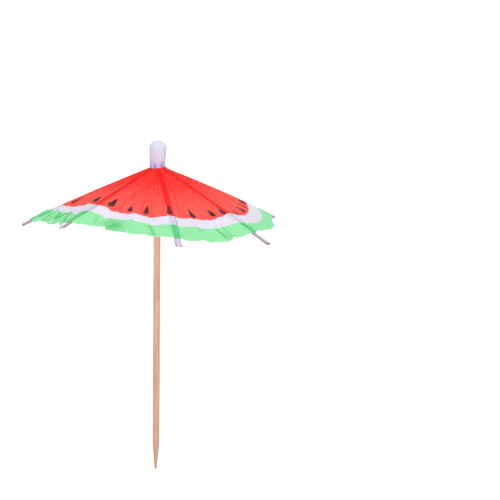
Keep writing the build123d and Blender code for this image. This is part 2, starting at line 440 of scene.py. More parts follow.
def plastic(name):
    """Bright pink soft plastic with a faint mould haze."""
    paint = Paint(name)
    haze = paint.noise(paint.place(), 1500, 3, 0.6)
    paint.look(Base_Color=paint.mix(paint.ramp(haze, 0.3, 0.7), (250, 66, 118), (255, 92, 140)))
    paint.look(Roughness=paint.ramp(haze, 0.3, 0.7, 0.2, 0.36), Coat_Weight=0.3, Coat_Roughness=0.12)
    paint.bump(haze, 0.02, 0.4)
    return paint.material


paper_face = tissue("tissue_face", 0.0)
paper_back = tissue("tissue_back", 0.38)
liner = board("board_liner", (207, 204, 222), (188, 184, 210), (165, 160, 186), 1.0)
core = board("board_core", (178, 138, 112), (132, 96, 76), (92, 62, 50), 1.3)
soot = board("board_end", (138, 104, 84), (88, 62, 52), (58, 40, 36), 1.3)


# Canopy: one paper disc over the ribs, made as half gores that meet along ribs and creases

PAPER_THICKNESS = 0.08
PAPER_RADIUS, PAPER_HUB, PAPER_SLACK = 39.45, 2.68, 1.2
COLLAR_REACH = 3.6
CROWN_SLANT = 0.22
# Places on the paper are a turn, where each whole number is a rib, and a reach from the apex
RIM = {
    4: 41.3, 4.06: 41.3, 4.15: 40.8, 4.19: 39.3, 4.34: 38.3, 4.5: 38.8, 4.6: 38.8, 4.63: 37.3, 4.72: 38.5,
    4.88: 40.6, 4.95: 41.2, 5.02: 40.4, 5.08: 39.8, 5.13: 38.3, 5.2: 36.7, 5.28: 35.2, 5.3: 35.3,
    5.315: 36.9, 5.42: 37.5, 5.46: 36.8, 5.55: 36.2, 5.7: 36.6, 5.78: 38.3, 5.88: 39.1, 5.96: 39.8,
    6.04: 40.2, 6.09: 40.7, 6.17: 40.2, 6.27: 39.1, 6.38: 39, 6.48: 39, 6.61: 39.8, 6.7: 38.1, 6.86: 38.4,
    6.99: 39.1, 7.16: 37.2, 7.28: 36.8, 7.4: 37.3, 7.6: 39.5, 7.79: 41.5, 7.84: 40.9, 7.94: 41.7, 8: 41.9,
    8.1: 41.6, 8.3: 39.6, 8.5: 39, 8.75: 40.3, 9: 40.6, 9.2: 39.3, 9.34: 38.2, 9.36: 39.1, 9.5: 38.6,
    9.8: 39.9, 10: 40.3, 10.3: 38.9, 10.55: 38.5, 10.85: 39.8, 11: 40.5, 11.2: 39.2, 11.5: 38.4, 11.62: 38,
    11.64: 38.9, 11.8: 39.9,
}
RED_EDGE = {
    4: 30.9, 4.2: 29.7, 4.41: 28.4, 4.46: 27.4, 4.6: 28.2, 4.72: 28.4, 4.76: 27.3, 5.02: 28.5, 5.15: 27.4,
    5.23: 28, 5.43: 27.7, 5.53: 26.5, 5.67: 27.4, 5.75: 28.6, 5.95: 28.5, 6.11: 29.3, 6.34: 27.9,
    6.62: 29.1, 6.75: 28.6, 7.04: 28.6, 7.21: 28.3, 7.36: 28.8, 7.55: 30.6, 7.77: 31.9, 8: 32.4, 8.3: 30.6,
    8.7: 29, 9.2: 29.6, 9.7: 28.4, 10.3: 29.2, 10.8: 28.5, 11.4: 29.6,
}
WHITE_EDGE = {
    4: 35, 4.1: 33.6, 4.12: 32.6, 4.31: 32.7, 4.35: 32.2, 4.41: 32.1, 4.48: 30.9, 4.6: 31.6, 4.81: 33.2,
    4.93: 33.4, 5.02: 32.4, 5.2: 31.6, 5.39: 31.1, 5.53: 29.8, 5.66: 30.7, 5.78: 32.6, 5.96: 32.9, 6.07: 34,
    6.31: 32, 6.61: 33.3, 6.7: 32.5, 7.03: 33.4, 7.34: 32.8, 7.61: 35.4, 7.84: 37, 8: 37, 8.3: 35.2,
    8.7: 33.2, 9.2: 34, 9.7: 33, 10.3: 33.8, 10.8: 33.1, 11.4: 34.2,
}
# Each seed's place, length and fatness
SEEDS = [
    (4.15, 26, 4.6, 1), (4.85, 24.7, 3.7, 1.4), (5.16, 24.3, 4.8, 1.2), (5.44, 24.6, 3.1, 1.3),
    (5.67, 24.3, 4.7, 1), (5.99, 25.3, 4.8, 1), (6.38, 25.3, 4.4, 1.2), (6.75, 25.7, 4, 1.2),
    (6.93, 26.6, 3.5, 1.5), (7.33, 27.1, 3.4, 2.1), (7.65, 28.6, 3.5, 1.8), (7.8, 29.4, 3.6, 0.7),
    (7.91, 29.8, 3.3, 1.7), (8.25, 27.6, 4.7, 1), (8.55, 26.4, 4.8, 1), (8.8, 25.6, 3.3, 1.1),
    (9.1, 26, 4.8, 1), (9.42, 25.2, 4.6, 1), (9.75, 25, 4.9, 1), (10.05, 25.6, 4.6, 1),
    (10.35, 25.2, 4.8, 1), (10.62, 24.8, 3.3, 1.1), (10.9, 25.4, 4.8, 1), (11.2, 25.8, 4.7, 1),
    (11.5, 25.4, 4.9, 1), (11.8, 26.2, 4.7, 1),
]
# Each crease's strength and line
CREASES = [
    (1, [(5.34, 15.6), (5.36, 20.6)]), (0.9, [(5.28, 20.4), (5.3, 24.2), (5.34, 28)]),
    (0.8, [(5.76, 4.6), (5.83, 11.9), (5.86, 18.4)]),
    (1, [(6.31, 4.2), (6.29, 12.3), (6.25, 17.7), (6.2, 22), (6.13, 27.6)]),
    (0.5, [(5.72, 19), (5.74, 28.6)]), (0.7, [(6.36, 28.4), (6.33, 32.2)]),
    (0.6, [(6.68, 29.8), (6.64, 33)]), (0.6, [(5.6, 4), (5.56, 15)]), (0.7, [(4.44, 5), (4.4, 19)]),
    (0.5, [(4.62, 9), (4.7, 22)]), (0.6, [(6.62, 5), (6.55, 16)]), (0.6, [(7.3, 8), (7.42, 21)]),
    (0.5, [(7.6, 12), (7.7, 25)]), (0.6, [(6.86, 16), (6.82, 30)]), (0.7, [(8.3, 6), (8.36, 21)]),
    (0.8, [(8.62, 15), (8.6, 28)]), (0.7, [(9.28, 5), (9.34, 17)]), (0.8, [(9.66, 12), (9.62, 27)]),
    (0.7, [(10.32, 6), (10.38, 22)]), (0.8, [(10.7, 14), (10.66, 28)]), (0.7, [(11.3, 5), (11.36, 19)]),
    (0.8, [(11.7, 13), (11.66, 27)]),
]
# Each fold's half width, strength and line
FOLDS = [
    (0.7, 1, [(4.12, 34.4), (4.1, 39)]), (0.4, 0.7, [(4.05, 39), (4.1, 41.4)]),
    (0.8, 1, [(4.33, 32.4), (4.38, 34.2), (4.42, 36.2)]),
    (0.6, 0.9, [(4.47, 31.6), (4.45, 33.9), (4.46, 36.4)]),
    (0.6, 0.85, [(4.56, 31), (4.67, 34.3), (4.8, 38.6)]), (0.5, 0.8, [(4.21, 33.4), (4.24, 37.6)]),
    (0.5, 0.9, [(7.15, 33.2), (7.08, 35.3), (7.07, 37.6)]),
    (0.7, 0.55, [(5.73, 32.2), (5.78, 35.6), (5.8, 39)]),
    (0.5, 0.8, [(6.58, 33), (6.59, 35.7), (6.61, 39.2)]), (0.4, 0.5, [(6.3, 32), (6.36, 35)]),
    (0.5, 0.45, [(6.7, 33), (6.68, 36.2), (6.72, 38.4)]), (0.5, 0.5, [(5.16, 32), (5.18, 36.5)]),
    (0.5, 0.4, [(7.32, 33), (7.38, 37)]), (0.6, 0.5, [(8.28, 35), (8.3, 40)]),
    (0.5, 0.7, [(8.66, 33.4), (8.7, 40)]), (0.6, 0.6, [(9.24, 34), (9.3, 39)]),
    (0.5, 0.7, [(9.6, 33.4), (9.66, 39)]), (0.5, 0.5, [(10.26, 33.8), (10.3, 39)]),
    (0.6, 0.7, [(10.6, 33.4), (10.68, 39.2)]), (0.5, 0.6, [(11.24, 34), (11.3, 39.4)]),
    (0.6, 0.7, [(11.6, 33.6), (11.7, 39)]),
]
# Each crinkled patch's place, size and strength
CRINKLES = [
    (5.37, 34.4, 3, 1), (4.3, 38, 2.2, 0.5), (6.67, 37.6, 2, 0.4), (9.35, 36.5, 2.6, 0.9),
    (11.63, 36.4, 2.6, 0.8),
]
# Places, sizes and heights of swellings: bulges stay clear of ribs and creases, puffs don't
BULGES = [(4.7, 25, 6, 0.9)]
PUFFS = [(4.02, 36.4, 2.4, 0.5), (10.5, 38.6, 3.2, 0.16)]
# Each pale speck's place and size
SPECKS = [
    (4.07, 40.6, 0.26), (4.13, 38.8, 0.26), (4.17, 38.5, 0.24), (4.27, 37.5, 0.3), (4.33, 37.4, 0.3),
    (4.42, 37.2, 0.34), (4.45, 37.7, 0.3), (4.47, 36.5, 0.22), (9.32, 37.6, 0.3), (9.34, 37.2, 0.25),
    (9.44, 37, 0.28), (11.56, 37.2, 0.3), (11.57, 36.8, 0.22),
]
NEAR_RIB_COLUMNS, FAR_COLUMNS, ROWS = 8, 26, 76
NEAR_RIB = 1.3
FAR_AWAY = 9.0
FADE_OUTSIDE, FADE_INSIDE = 0.8, 1.2
SEED_HALF_WIDTH, SEED_ROUND_FROM = 0.21, 0.74
PLEAT_HEIGHT, RIPPLE_HEIGHT, FOLD_HEIGHT = 0.2, 0.2, 0.3
CREASE_SINK, CREASE_STEP = 0.07, 0.05
# The paper's height over a rib, where it is pressed down on it, and how low it may hang beside it
RIB_LIFT = 0.17
PRESSED_WITHIN, FREE_BEYOND = 1.2, 2.2
LEAST_GIVE, LEAST_SLOPE, EDGE_ROOM = 0.06, 1.1, 0.12


def spread_between(k):
    """Angle between the two ribs of gore k."""
    return math.acos(float(np.clip(ribs[k].along @ ribs[(k + 1) % RIB_COUNT].along, -1, 1)))


gore_spread = [spread_between(k) for k in range(RIB_COUNT)]


def spread_at(turn):
    return gore_spread[int(turn - 1) % RIB_COUNT]


def turn_from(turn, where):
    """How far round a turn lies from another, the short way."""
    return (turn - where + RIB_COUNT / 2) % RIB_COUNT - RIB_COUNT / 2


def around(turn, table):
    """A listed reach at this turn round the canopy."""
    turns, values = zip(*[((t - 1) % RIB_COUNT, v) for t, v in table.items()])
    return np.interp((turn - 1) % RIB_COUNT, turns, values, period=RIB_COUNT)


def on_disc(turn, s):
    """Where a place on the canopy lies on the flat paper disc."""
    angle = turn * (2 * math.pi / RIB_COUNT)
    return s * np.cos(angle), s * np.sin(angle), 0 * s


def taut(k, v, s):
    """The paper in gore k, a share v of the way from rib to rib and s from the apex, sagging a little."""
    first, second = ribs[k], ribs[(k + 1) % RIB_COUNT]
    spread = gore_spread[k]
    away = np.sin((1 - v) * spread)[..., None] * first.along + np.sin(v * spread)[..., None] * second.along
    away = away / math.sin(spread)
    apex = (1 - v)[..., None] * first.apex + v[..., None] * second.apex
    sag = PAPER_SLACK * s / PAPER_RADIUS * (4 * v * (1 - v)) ** 1.6
    down = unit(np.cross(first.along, second.along)) * sag[..., None]
    x = s - HINGE_REACH
    bow = rib_bow(first, x) * ease(v, 0.42, 0.0) + rib_bow(second, x) * ease(v, 0.58, 1.0)
    up = unit((1 - v)[..., None] * first.up + v[..., None] * second.up)
    return apex + s[..., None] * away - down + up * bow[..., None]


def facing(k, v, s):
    """Outward normal of the taut paper."""
    step = 0.002
    inside = np.clip(v, 2 * step, 1 - 2 * step)
    along = taut(k, inside, s + step) - taut(k, inside, s - step)
    across = taut(k, inside + step, s) - taut(k, inside - step, s)
    return unit(np.cross(along, across))


def beside(turn, s, line):
    """Distance across from a roughly radial line, and how much of it is there at this reach."""
    turns, reaches = zip(*line)
    gap = turn_from(turn, np.interp(s, reaches, turns)) * spread_at(turns[0]) * s
    begun = ease(s, reaches[0] - FADE_OUTSIDE, reaches[0] + FADE_INSIDE)
    return gap, begun * ease(s, reaches[-1] + FADE_OUTSIDE, reaches[-1] - FADE_INSIDE)


def creasing(turn, s):
    """Signed distance to the nearest crease and how deep it is here."""
    nearest = np.full(np.shape(s), FAR_AWAY)
    depth = np.zeros(np.shape(s))
    for strength, line in CREASES:
        gap, present = beside(turn, s, line)
        there = strength * present * ease(np.abs(gap), 1.6, 0.7)
        closer = there > depth
        nearest = np.where(closer, gap, nearest)
        depth = np.where(closer, there, depth)
    return nearest, depth


def folding(turn, s):
    """How much the paper doubles up at the listed folds."""
    total = np.zeros(np.shape(s))
    for half, strength, line in FOLDS:
        gap, present = beside(turn, s, line)
        doubled = strength * present * ease(gap, -1.6 * half, -0.2 * half) * ease(gap, half, 0.6 * half)
        total = np.maximum(total, doubled)
    return total


def spot(turn, s, where, reach, size):
    """Distance from a place on the paper, in units of size."""
    return np.hypot(turn_from(turn, where) * spread_at(where) * reach, s - reach) / size


def swellings(turn, s, table):
    """Rounded heights, one for each row of a table of places, sizes and heights."""
    return [height * np.exp(-spot(turn, s, t, r, size) ** 2) for t, r, size, height in table]


def crinkling(turn, s):
    return np.maximum.reduce(swellings(turn, s, CRINKLES))


def speck_gap(turn, s):
    return np.minimum.reduce([spot(turn, s, t, r, 1.0) - size for t, r, size in SPECKS])


def crumple(turn, s, v, rim_share):
    """Height of pleats, ripples, folds and the fluttering rim over the taut paper."""
    x, y, _ = on_disc(turn, s)
    free = ease(np.minimum(v, 1 - v), 0.03, 0.22)
    at_crease = 1 - 0.75 * np.exp(-(((v - 0.5) / 0.06) ** 2))
    pleats = gore_noise(turn, s, 11, 0.06, 3) + 0.6 * gore_noise(turn, s, 23, 0.1, 4)
    pleats = PLEAT_HEIGHT * pleats * np.exp(-(((s - 4) / 10) ** 2)) * ease(s, 2.6, 5)
    ripples = RIPPLE_HEIGHT * gore_noise(turn, s, 4, 0.05, 5) * ease(s, 6, 24)
    crackle = 0.06 * grain(x * 0.45, y * 0.45, 6) + 0.035 * grain(x * 1.1, y * 1.1, 7)
    flutter = 0.6 * gore_noise(turn, s, 5, 0.03, 8) + 0.35 * gore_noise(turn, s, 13, 0.08, 9)
    flutter = flutter * rim_share**5
    bulge = sum(swellings(turn, s, BULGES))
    rough = 0.3 * grain(x * 0.8, y * 0.8, 13) + 0.15 * grain(x * 1.7, y * 1.7, 14)
    crinkle = crinkling(turn, s) * rough
    gap, depth = creasing(turn, s)
    crease = CREASE_STEP * depth * np.tanh(gap / 0.5) - CREASE_SINK * depth * np.exp(-((gap / 0.45) ** 2))
    fold = FOLD_HEIGHT * folding(turn, s)
    return free * at_crease * sum([pleats, ripples, crackle, flutter, bulge, crinkle, crease, fold])


def seed_gap(turn, s):
    """Signed distance to the nearest printed seed, a drop whose point is towards the crown."""
    nearest = np.full(np.shape(s), FAR_AWAY)
    for seed_turn, seed_reach, length, fat in SEEDS:
        across = np.abs(turn_from(turn, seed_turn) * spread_at(seed_turn) * seed_reach)
        share = np.clip((s - seed_reach) / length + 0.5, 0, 1)
        rounding = np.clip((share - SEED_ROUND_FROM) / (1 - SEED_ROUND_FROM), 0, 1)
        round_end = np.sqrt(np.clip(1 - rounding**2, 0, 1))
        half = SEED_HALF_WIDTH * length * fat * (share + 0.04) ** 0.95 * round_end
        beyond = np.maximum(np.abs(s - seed_reach) - length / 2, 0)
        outside = np.hypot(np.maximum(across - half, 0), beyond)
        nearest = np.minimum(nearest, outside + np.minimum(across - half, 0))
    return nearest


def crown_slant(azimuth):
    """How far the crown's lower edge, and the paper round it, is raised: it is cut askew."""
    return CROWN_SLANT * (1 + np.cos(azimuth))


def paper_sheet(name, points, normal, turned_over):
    """A thin closed sheet of printed paper over a grid of points."""
    rows, columns = points.shape[:2]
    top = points + normal * PAPER_THICKNESS / 2
    bottom = points - normal * PAPER_THICKNESS / 2
    count = rows * columns
    grid = np.arange(count).reshape(rows, columns)
    a, b, c, d = grid[:-1, :-1], grid[1:, :-1], grid[1:, 1:], grid[:-1, 1:]
    upper = np.stack([a, b, c, d], -1).reshape(-1, 4)
    lower = upper[:, ::-1] + count
    ring = np.concatenate([grid[:, 0], grid[-1, 1:], grid[-2::-1, -1], grid[0, -2:0:-1]])
    following = np.roll(ring, -1)
    walls = np.stack([ring, ring + count, following + count, following], -1)
    faces = np.concatenate([upper, lower, walls])
    if turned_over:
        faces = faces[:, ::-1]
    slots = [0] * len(upper) + [1] * (len(lower) + len(walls))
    corners = np.concatenate([top.reshape(-1, 3), bottom.reshape(-1, 3)])
    return make_piece(name, corners, faces.tolist(), [paper_face, paper_back], 60, slots)


def print_paper(piece, turn, s, rib_edge, cut_side):
    """Stores what the printed paper's material reads, for both faces of a sheet."""
    crease_gap, crease_depth = creasing(turn, s)
    numbers = {
        "reach": s,
        "past_red": s - around(turn, RED_EDGE),
        "past_white": s - around(turn, WHITE_EDGE),
        "seed": seed_gap(turn, s),
        "crease": crease_gap,
        "crease_depth": crease_depth,
        "fold": folding(turn, s),
        "crinkle": crinkling(turn, s),
        "speck": speck_gap(turn, s),
        "cut_side": cut_side,
        "rib_edge": rib_edge,
    }
    for name, values in numbers.items():
        store(piece, name, np.concatenate([np.broadcast_to(values, s.shape).ravel()] * 2))
    vectors = {"flat": on_disc(turn, s), "polar": (turn * 20.0, s, 0 * s)}
    for name, values in vectors.items():
        store(piece, name, np.concatenate([np.stack(values, -1).reshape(-1, 3)] * 2), "FLOAT_VECTOR")


def gore_grid(k, side):
    """Shares of the way out to the rim and from rib to rib, with finer columns near the rib."""
    share = np.linspace(0, 1, ROWS)[:, None]
    nominal = PAPER_HUB + share * (PAPER_RADIUS - PAPER_HUB)
    half_width = nominal * math.sin(gore_spread[k] / 2)
    near = np.minimum(NEAR_RIB, 0.6 * half_width)
    column = np.arange(NEAR_RIB_COLUMNS + FAR_COLUMNS + 1)[None, :]
    lateral = np.where(
        column <= NEAR_RIB_COLUMNS,
        near * column / NEAR_RIB_COLUMNS,
        near + (half_width - near) * (column - NEAR_RIB_COLUMNS) / FAR_COLUMNS,
    )
    v = np.arcsin(np.clip(lateral / nominal, 0, 1)) / gore_spread[k]
    return share, (v if side == "left" else 1 - v)


def press_on_rib(points, rib, side, s, puff):
    """Lays the paper flat on the board over its rib; also gives each point's distance from the rib's line."""
    offset = points - rib.apex
    height = offset @ rib.up
    gap = np.abs(offset @ rib.across)
    sign = 1 if side == "left" else -1
    x = s - HINGE_REACH
    tilt = sign * np.minimum(gap, PRESSED_WITHIN) * np.tan(rib_roll(rib, x))
    level = RIB_THICKNESS + RIB_LIFT - rib.paper_height + rib_bow(rib, x) + tilt + puff
    pressed = height + (soft_least(height, level, 0.05) - height) * ease(gap, FREE_BEYOND, PRESSED_WITHIN)
    past_rib = np.maximum(gap - rib_half_width(x) - EDGE_ROOM, 0)
    least = level - LEAST_GIVE - LEAST_SLOPE * past_rib
    pressed = soft_most(pressed, least, 0.03)
    return points + rib.up * (pressed - height)[..., None], gap


def half_gore(index, side, glued_pieces):
    """The paper from a rib's centre line to the crease on one side of it, as a thin closed sheet."""
    rib = ribs[index]
    k = index if side == "left" else (index - 1) % RIB_COUNT
    share, v = gore_grid(k, side)
    turn = k + 1 + v
    tears = 0.16 * gore_noise(turn, turn, 9, 0, 11) + 0.13 * gore_noise(turn, turn, 31, 0, 12)
    rim = around(turn, RIM) + tears
    s = PAPER_HUB + share * (rim - PAPER_HUB)
    normal = facing(k, v, s)
    puff = sum(swellings(turn, s, PUFFS))
    points = taut(k, v, s) + normal * (crumple(turn, s, v, share) + puff)[..., None]
    points, gap = press_on_rib(points, rib, side, s, puff)
    azimuth = np.arctan2(points[..., 1], points[..., 0])
    points[..., 2] += crown_slant(azimuth) * ease(s, COLLAR_REACH, PAPER_HUB)
    normal = unit(normal + (rib.up - normal) * ease(gap, 1.1, 0.7)[..., None])
    piece = paper_sheet(f"paper_{rib.number}_{side}", points, normal, side == "right")
    print_paper(piece, turn, s, gap - rib_half_width(s - HINGE_REACH), 1.0 if side == "left" else 0.0)
    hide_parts(f"canopy_{rib.number}_{side}")
    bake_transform(piece)


BAND_HALF, BAND_LIFT = 0.55, 0.05
BAND_ROWS, BAND_COLUMNS = 60, 5
BAND_FROM_HUB, BAND_FROM_RIM, BAND_TAPER = 0.3, 0.6, 6


def glued_band(index):
    """The narrow band of paper that stays glued to a rib, under the line where the halves fold up."""
    rib = ribs[index]
    rim = float(around(np.float64(rib.number), RIM)) - BAND_FROM_RIM
    reaches = np.linspace(PAPER_HUB + BAND_FROM_HUB, rim, BAND_ROWS)
    u, lateral = np.meshgrid(reaches, np.linspace(-1, 1, BAND_COLUMNS) * BAND_HALF, indexing="ij")
    lateral = lateral * np.minimum(1, u / BAND_TAPER)
    spread = np.where(lateral > 0, gore_spread[index], gore_spread[index - 1])
    s = np.hypot(u, lateral)
    turn = rib.number + lateral / s / spread
    x = s - HINGE_REACH
    lift = RIB_THICKNESS + BAND_LIFT - rib.paper_height + rib_bow(rib, x) + lateral * np.tan(rib_roll(rib, x))
    points = rib.apex + rib.along * u[..., None] + rib.across * lateral[..., None] + rib.up * lift[..., None]
    piece = paper_sheet(f"paper_{rib.number}_band", points, np.broadcast_to(rib.up, points.shape), False)
    print_paper(piece, turn, s, np.abs(lateral) - rib_half_width(x), 0.0)
    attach(piece, f"rib_{rib.number}")
    return piece


for index in range(RIB_COUNT):
    half_gore(index, "left", [glued_band(index)])
    half_gore(index, "right", [])


# Board strips: ribs and stretchers with pale liners and a brown cut edge

BEVEL = 0.05
EDGE_WANDER = 0.02
LINER_SLOT, CORE_SLOT, END_SLOT = 0, 1, 2


def strip(name, axes, stations, thickness, end_at, seed, form, end_slot=END_SLOT):
    """A strip through (distance, half width) stations; end_at says where it ends, form bends its section."""
    origin, along, across, up = axes
    places = (BEVEL - 1, -0.5, 0, 0.5, 1 - BEVEL)
    section = [(-1, BEVEL), (-1, thickness - BEVEL)]
    section += [(place, thickness) for place in places]
    section += [(1, thickness - BEVEL), (1, BEVEL)]
    section += [(place, 0) for place in reversed(places)]
    count = len(section)
    points = []
    last = len(stations) - 1
    for number, (distance, half) in enumerate(stations):
        ragged = 1 + EDGE_WANDER * grain_at(distance * 1.3, 0, seed)
        for place, z in section:
            y = place * half * ragged
            x = distance if number < last else end_at(y, z)
            if number == last - 1:
                x = min(distance, end_at(y, z) - BEVEL)
            side, lift = form(x, y, z)
            points.append(origin + along * x + across * side + up * lift)
    faces, slots = [], []
    for ring in range(last):
        near, far = ring * count, (ring + 1) * count
        for i in range(count):
            j = (i + 1) % count
            faces.append([near + i, near + j, far + j, far + i])
            cut_edge = section[i][0] == section[j][0] and abs(section[i][0]) == 1
            slots.append(CORE_SLOT if cut_edge else LINER_SLOT)
    faces.append(list(range(count))[::-1])
    faces.append([last * count + i for i in range(count)])
    slots += [CORE_SLOT, end_slot]
    return make_piece(name, points, faces, [liner, core, soot], 40, slots)


def rib_strip(rib):
    length = RIB_LENGTH - RIB_TRIMS[rib.number - 1]
    neck = np.linspace(RIB_START, RIB_TAPER, 10)
    blade = np.linspace(RIB_TAPER + 1, length - 1.0, 34)
    stations = [(float(x), float(rib_half_width(x))) for x in [*neck, *blade]]
    for x in (0.32, 0.22, 0.13, 0.06, 0.0):
        inset = max(RIB_CORNER - x, 0)
        rounding = math.sqrt(max(RIB_CORNER**2 - inset**2, 0))
        stations.append((length - x, RIB_WIDTH / 2 - RIB_CORNER + rounding))

    def end_at(y, z):
        frayed = RIB_FRAY * abs(grain_at(y * 4, z * 9, rib.number + 20))
        return length - frayed - RIB_SLANTS[rib.number - 1] * (y + RIB_WIDTH / 2)

    def form(x, y, z):
        roll = float(rib_roll(rib, x))
        below = (RIB_THICKNESS - z) * (1 + RIB_SPLAY * float(ease(x, SPLAY_START, SPLAY_END)))
        side = y * math.cos(roll) + below * math.sin(roll)
        lift = RIB_THICKNESS + y * math.sin(roll) - below * math.cos(roll) + float(rib_bow(rib, x))
        return side, lift

    axes = (rib.hinge, rib.along, rib.across, rib.up)
    end_slot = LINER_SLOT if rib.number in PALE_ENDS else END_SLOT
    name = f"rib_strip_{rib.number}"
    piece = strip(name, axes, stations, RIB_THICKNESS, end_at, rib.number, form, end_slot)
    dress(piece, f"rib_{rib.number}", f"rib_{rib.number}")


STRETCHER_START, STRETCHER_TAPER = 0.15, 5.0
STRETCHER_NECK, STRETCHER_WIDTH, STRETCHER_THICKNESS = 0.99, 1.4, 0.4
PIVOT_GAP = 0.1
BOW_FOLLOWED = 0.9


def stretcher_strip(rib):
    foot = unit(np.array([rib.along[0], rib.along[1], 0])) * np.hypot(*rib.hinge[:2])
    foot[2] = joints["runner_level"]["pos_m"][2] / MM
    along = unit(rib.knee - foot)
    up = np.cross(rib.across, along)
    up = up if up[2] > 0 else -up
    length = float(np.linalg.norm(rib.knee - foot))
    knee_reach = float(np.linalg.norm(rib.knee - rib.hinge))
    slope = float(along @ rib.up)

    def end_at(y, z):
        place = foot + rib.across * y + up * z
        reach = float((rib.hinge - rib.up * PIVOT_GAP - place) @ rib.up) / slope
        return reach + rib_bow(rib, knee_reach) / slope * BOW_FOLLOWED

    neck = np.linspace(STRETCHER_START, STRETCHER_TAPER, 7)
    blade = np.linspace(STRETCHER_TAPER + 1, length - 1.2, 10)
    stations = []
    for x in [*neck, *blade, length - 0.6, length]:
        share = min(max((x - STRETCHER_START) / (STRETCHER_TAPER - STRETCHER_START), 0), 1)
        stations.append((float(x), (STRETCHER_NECK + (STRETCHER_WIDTH - STRETCHER_NECK) * share) / 2))
    name = f"stretcher_strip_{rib.number}"
    axes = (foot, along, rib.across, up)
    piece = strip(name, axes, stations, STRETCHER_THICKNESS, end_at, rib.number + 40, lambda x, y, z: (y, z))
    dress(piece, f"stretcher_{rib.number}", f"stretcher_{rib.number}")


for rib in ribs:
    rib_strip(rib)
    stretcher_strip(rib)


# Round pieces: crown, runner, lock ring and pick


def box_of(node):
    """Low and high corner of a solid, in millimetres."""
    return [np.array(corner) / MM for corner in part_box(node)]


def turned(name, profile, columns, shape, material, sharp, marks=None):
    """A closed piece turned from (radius, height) rows; shape gives each point's radius, lean and height."""
    angle = np.linspace(0, 2 * math.pi, columns, endpoint=False)
    radius, height = np.array(profile, float).T
    theta, r = np.meshgrid(angle, radius)
    _, z = np.meshgrid(angle, height)
    new, lean, rise = shape(theta, r, z)
    points = np.stack([new * np.cos(theta) + lean, new * np.sin(theta), rise], -1).reshape(-1, 3)
    rows = len(profile)
    grid = np.arange(rows * columns).reshape(rows, columns)
    step = np.roll(grid, -1, axis=1)
    faces = np.stack([grid[:-1], step[:-1], step[1:], grid[1:]], -1).reshape(-1, 4).tolist()
    if profile[0] != profile[-1]:
        faces += [grid[0][::-1].tolist(), grid[-1].tolist()]
    piece = make_piece(name, points, faces, [material], sharp)
    if marks is not None:
        store(piece, "slit", marks(theta, r, z).ravel())
    return piece


SLIT_LEANS = (-0.2, 0.15)
gore_middles = []
for k in range(RIB_COUNT):
    middle = ribs[k].along + ribs[(k + 1) % RIB_COUNT].along
    gore_middles.append(math.atan2(middle[1], middle[0]))


def slit_depth(theta, radius, along_slit, width, depth, tall):
    """How far a row of V slits is pressed in; along_slit is 0 at the open end and grows towards the point."""
    cut = np.zeros_like(theta)
    for number, middle in enumerate(gore_middles):
        across = ((theta - middle + math.pi) % (2 * math.pi) - math.pi) * radius
        across = np.abs(across - SLIT_LEANS[number % 2] * along_slit)
        height = tall * (0.75 + 0.5 * float(scatter(number, 7, 1)))
        half = width / 2 * (1 - along_slit / height)
        cut = np.maximum(cut, depth * ease(half - across, -0.03, 0.05) * (half > 0))
    return cut


CROWN_HOLE, CROWN_DOME, CROWN_DROP, CROWN_LEAN = 2.06, 2.0, 0.42, 0.12
CROWN_SHADE_LOW, CROWN_SHADE_HIGH = 1.0, 3.9


def crown_piece():
    low, high = box_of("crown")
    bottom, top, radius = low[2], high[2] - CROWN_DROP, high[0]
    rises = np.concatenate([np.arange(0, 2.6, 0.1), np.arange(2.7, top - bottom - CROWN_DOME, 0.22)])
    profile = [(CROWN_HOLE, bottom)]
    profile += [(radius, z) for z in rises + bottom]
    for angle in np.linspace(0, math.pi / 2, 22)[:-1]:
        profile.append((radius * math.cos(angle) ** 0.66, top - CROWN_DOME + CROWN_DOME * math.sin(angle)))
    profile.append((0.05, top))

    def cut(theta, r, z):
        rise = z - bottom
        return slit_depth(theta, 2.4, rise, 0.5, 0.24, 2.4) * ease(r, 2.1, 2.4) * (rise < 3.2)

    def shape(theta, r, z):
        rise = z - bottom
        bulge = 0.93 + 0.095 * ease(rise, 1.0, 5.2)
        crepe = 0.03 * ring_noise(theta, z, 28, 0.5, 21) + 0.02 * ring_noise(theta, z, 80, 0.8, 22)
        dent = 0.05 * ring_noise(theta, z, 6, 0.45, 23)
        uneven = (crepe + dent) * ease(r, 0.4, 2.0) * (r > CROWN_HOLE + 0.01)
        new = r * np.where(r > 2.1, bulge, 1) + uneven - cut(theta, r, z)
        ragged = 0.16 * ring_noise(theta, z, 9, 0, 24) * ease(rise, 0.7, 0.0)
        lean = CROWN_LEAN * ease(rise, 0.5, 6.0)
        raised = np.maximum(ragged, 0) + crown_slant(theta) * ease(rise, 2.4, 0.0)
        return new, lean, z + raised

    # Painted shade: the crown is darker lavender towards its lower edge
    shade_low, shade_high = bottom + CROWN_SHADE_LOW, bottom + CROWN_SHADE_HIGH
    paint = pulp("pulp_crown", (217, 221, 231), (186, 181, 234), shade_low, shade_high)
    piece = turned("crown_cap", profile, 240, shape, paint, 55, cut)
    dress(piece, "crown", "stem")


RUNNER_RADIUS, RUNNER_HOLE = 1.95, 1.56
LAP_START, LAP_END = math.radians(200), math.radians(315)
LAP_HEIGHT, LAP_BELOW_TOP, LAP_STEP = 0.2, 1.5, 0.02


